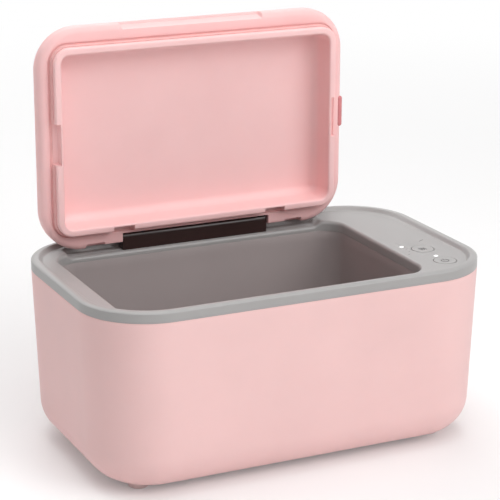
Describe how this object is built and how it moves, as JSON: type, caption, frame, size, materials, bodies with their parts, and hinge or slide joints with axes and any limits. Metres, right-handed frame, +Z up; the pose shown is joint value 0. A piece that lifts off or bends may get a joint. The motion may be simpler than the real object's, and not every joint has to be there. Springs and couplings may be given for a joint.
{
  "type": "baby wipe warmer",
  "caption": "Table-top baby wipe warmer: tapered body with a heated tub, dished frame with push keys, and a lid on a rear hinge, shown open.",
  "frame": {"origin": "on the floor under the middle of the body", "axes": "+X to the right along the length, +Y to the back where the hinge is, +Z up"},
  "size_m": [0.23, 0.1414, 0.2259],
  "materials": {
    "pink_plastic": "satin moulded",
    "pink_liner": "satin moulded",
    "foot_rubber": "soft, slightly clear",
    "grey_plastic": "fine satin",
    "key_plastic": "fine satin",
    "tub_plastic": "satin",
    "screw_steel": "zinc plated",
    "pin_steel": "ground",
    "foam": "closed cell foam",
    "plate_aluminium": "rolled",
    "film": "polyimide film",
    "thermostat_metal": "plated",
    "fuse_ceramic": "glazed",
    "red_wire": "sleeve",
    "black_wire": "sleeve",
    "board": "solder mask",
    "black_plastic": "moulded",
    "hinge_plastic": "moulded",
    "light_pipe": "clear, frosted",
    "seal_rubber": "soft silicone",
    "pad_rubber": "soft touch"
  },
  "bodies": {
    "base": {"outer_shell": "pink_plastic", "base_cover": "pink_plastic", "base_screws": "screw_steel", "foot_front_left": "foot_rubber", "foot_front_right": "foot_rubber", "foot_back_left": "foot_rubber", "foot_back_right": "foot_rubber", "top_frame": "grey_plastic", "inner_tub": "tub_plastic", "tub_screws": "screw_steel", "insulation_jacket": "foam", "insulation_pad": "foam", "heat_plate": "plate_aluminium", "heating_film": "film", "thermostat": "thermostat_metal", "thermal_fuse": "fuse_ceramic", "heater_leads": "red_wire", "control_board": "board", "key_switches": "black_plastic", "board_screws": "screw_steel", "heat_light_pipe": "light_pipe", "power_light_pipe": "light_pipe", "power_inlet": "black_plastic", "inlet_leads": "black_wire", "hinge_bracket": "hinge_plastic", "hinge_pin": "pin_steel", "hinge_screws": "screw_steel"},
    "lid": {"lid_shell": "pink_plastic", "lid_liner": "pink_liner", "lid_seal": "seal_rubber", "lid_pad": "pad_rubber"},
    "heat_key": {"heat_button": "key_plastic"},
    "power_key": {"power_button": "key_plastic"}
  },
  "joints": [
    {"name": "lid_hinge", "type": "hinge", "parent": "base", "child": "lid", "pos_m": [-0.012, 0.05515, 0.10575], "axis": [1, 0, 0], "range_deg": [0, 90]},
    {"name": "heat_key_press", "type": "slide", "parent": "base", "child": "heat_key", "axis": [0, 0, -1], "range_m": [0, 0.0008], "stiffness_N_per_m": 600, "springref_m": -0.0006},
    {"name": "power_key_press", "type": "slide", "parent": "base", "child": "power_key", "axis": [0, 0, -1], "range_m": [0, 0.0008], "stiffness_N_per_m": 600, "springref_m": -0.0006}
  ]
}
